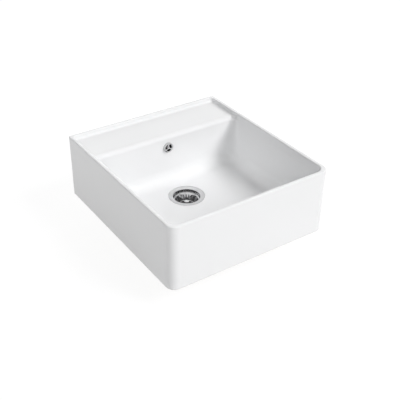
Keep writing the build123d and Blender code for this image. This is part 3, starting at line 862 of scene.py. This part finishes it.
def seen(tree):
    """1 for rays of the camera and of mirrors, 0 for rays of light on the object."""
    path = add(tree, "LightPath").outputs
    mirror = maths(tree, "MAXIMUM", path["Is Glossy Ray"], path["Is Transmission Ray"])
    return maths(tree, "MAXIMUM", path["Is Camera Ray"], mirror)


def surroundings(settings):
    """World: soft even light on the object, white where it is seen, dim in deep reflections."""
    world = bpy.data.worlds.new("surroundings")
    bpy.context.scene.world = world
    world.use_nodes = True
    tree = world.node_tree
    tree.nodes.clear()
    deep = maths(tree, "GREATER_THAN", add(tree, "LightPath").outputs["Glossy Depth"], 1.5)
    shown = between(tree, deep, 1.0, settings.deep_light)
    strength = between(tree, seen(tree), settings.sky_light, shown)
    light = add(tree, "Background", {"Color": (1, 1, 1, 1), "Strength": strength})
    output = tree.nodes.new("ShaderNodeOutputWorld")
    tree.links.new(light.outputs[0], output.inputs["Surface"])


def floor(settings):
    """Pale floor just below the lowest piece, white where it is seen, with a soft shadow. From
    below it is clear, so that the underside can be seen."""
    half, gap = settings.floor_size / 2, 0.5 * MM
    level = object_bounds()[0].z - gap
    corners = [(x * half, y * half, level) for x, y in ((-1, -1), (1, -1), (1, 1), (-1, 1))]
    mesh = bpy.data.meshes.new("floor")
    mesh.from_pydata(corners, [], [(0, 1, 2, 3)])
    made = bpy.data.objects.new("floor", mesh)
    bpy.context.scene.collection.objects.link(made)
    material = bpy.data.materials.new("pale_floor")
    material.use_nodes = True
    tree = material.node_tree
    tree.nodes.clear()
    pale, dark = (0.82, 0.82, 0.82, 1), (0.12, 0.12, 0.12, 1)
    plain = add(tree, "BsdfDiffuse", {"Color": pale}).outputs[0]
    white = add(tree, "Emission", {"Color": (1, 1, 1, 1), "Strength": 0.92}).outputs[0]
    shade = add(tree, "BsdfDiffuse", {"Color": dark}).outputs[0]
    shown = add(tree, "AddShader", {0: white, 1: shade}).outputs[0]
    above = add(tree, "MixShader", {0: seen(tree), 1: plain, 2: shown}).outputs[0]
    clear = add(tree, "BsdfTransparent").outputs[0]
    from_below = add(tree, "NewGeometry").outputs["Backfacing"]
    mixed = add(tree, "MixShader", {0: from_below, 1: above, 2: clear}).outputs[0]
    output = tree.nodes.new("ShaderNodeOutputMaterial")
    tree.links.new(mixed, output.inputs["Surface"])
    mesh.materials.append(material)
    made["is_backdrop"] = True


# ---------------------------------------------------------------- operators


class SINK_OT_studio(Operator):
    """Sets up the camera, the floor, the lamps and the white surroundings"""
    bl_idname = "sink.studio"
    bl_label = "Studio"

    def execute(self, context):
        settings = context.scene.sink_studio
        camera(settings)
        floor(settings)
        surroundings(settings)
        for name, (turn, height) in LAMPS.items():
            lamp(name, turn, height, getattr(settings, name + "_light"), settings.lamp_spread)
        context.scene.view_settings.view_transform = "Standard"
        return {"FINISHED"}


class SINK_OT_basin(Operator):
    """Glazes the basin"""
    bl_idname = "sink.basin"
    bl_label = "Basin"

    def execute(self, context):
        finish("sink_basin", finishes()["glaze"])
        return {"FINISHED"}


class SINK_OT_fittings(Operator):
    """Finishes the parts of steel, brass, rubber and plastic"""
    bl_idname = "sink.fittings"
    bl_label = "Fittings"

    def execute(self, context):
        for part in frame["record"]["subparts"]:
            finish(part["node"], finishes()[part["material_slot"]])
        # The flange gets the steel with painted shade deep inside the drain.
        finish("waste_flange", finishes()["strainer_bowl"])
        return {"FINISHED"}


class SINK_OT_basket(Operator):
    """Makes the slotted strainer basket"""
    bl_idname = "sink.basket"
    bl_label = "Strainer basket"

    def execute(self, context):
        dress(basket(context.scene.sink_basket), "strainer_basket")
        return {"FINISHED"}


class SINK_OT_cover(Operator):
    """Makes the overflow cover with its three openings"""
    bl_idname = "sink.cover"
    bl_label = "Overflow cover"

    def execute(self, context):
        dress(cover(context.scene.sink_cover), "overflow_rosette")
        return {"FINISHED"}


class SINK_OT_plug(Operator):
    """Makes the ribbed rubber plug under the basket"""
    bl_idname = "sink.plug"
    bl_label = "Plug"

    def execute(self, context):
        dress(plug(context.scene.sink_plug), "basket_plug_seal")
        return {"FINISHED"}


class SINK_OT_screws(Operator):
    """Makes the overflow cover's screw and the clamp screw under the basket"""
    bl_idname = "sink.screws"
    bl_label = "Screws"

    def execute(self, context):
        dress(cover_screw(context.scene.sink_screws), "overflow_screw")
        dress(clamp_screw(context.scene.sink_screws), "waste_clamp_screw")
        return {"FINISHED"}


class SINK_OT_outlet(Operator):
    """Cuts the trap's thread on the waste outlet"""
    bl_idname = "sink.outlet"
    bl_label = "Threaded outlet"

    def execute(self, context):
        dress(outlet(context.scene.sink_outlet), "waste_outlet")
        return {"FINISHED"}


class SINK_PT_panel(Panel):
    """Lists the pieces of the sink"""
    bl_label = "Apron Front Sink"
    bl_space_type = "VIEW_3D"
    bl_region_type = "UI"
    bl_category = "Sink"

    def draw(self, context):
        for operator in OPERATORS:
            self.layout.operator(operator.bl_idname)


OPERATORS = (SINK_OT_studio, SINK_OT_basin, SINK_OT_fittings, SINK_OT_basket, SINK_OT_cover,
             SINK_OT_plug, SINK_OT_screws, SINK_OT_outlet)
SETTINGS = {
    "sink_studio": StudioSettings,
    "sink_glaze": GlazeSettings,
    "sink_steel": SteelSettings,
    "sink_moulded": MouldedSettings,
    "sink_basket": BasketSettings,
    "sink_cover": CoverSettings,
    "sink_plug": PlugSettings,
    "sink_screws": ScrewSettings,
    "sink_outlet": OutletSettings,
}


def register():
    for kind in (*SETTINGS.values(), *OPERATORS, SINK_PT_panel):
        bpy.utils.register_class(kind)
    for name, kind in SETTINGS.items():
        setattr(bpy.types.Scene, name, PointerProperty(type=kind))


def unregister():
    for name in SETTINGS:
        delattr(bpy.types.Scene, name)
    for kind in (SINK_PT_panel, *reversed(OPERATORS), *reversed(tuple(SETTINGS.values()))):
        bpy.utils.unregister_class(kind)


def main():
    """Registers the add-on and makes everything."""
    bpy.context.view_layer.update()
    register()
    bpy.ops.sink.studio()
    bpy.ops.sink.basin()
    bpy.ops.sink.fittings()
    bpy.ops.sink.basket()
    bpy.ops.sink.cover()
    bpy.ops.sink.plug()
    bpy.ops.sink.screws()
    bpy.ops.sink.outlet()


if __name__ == "__main__":
    main()
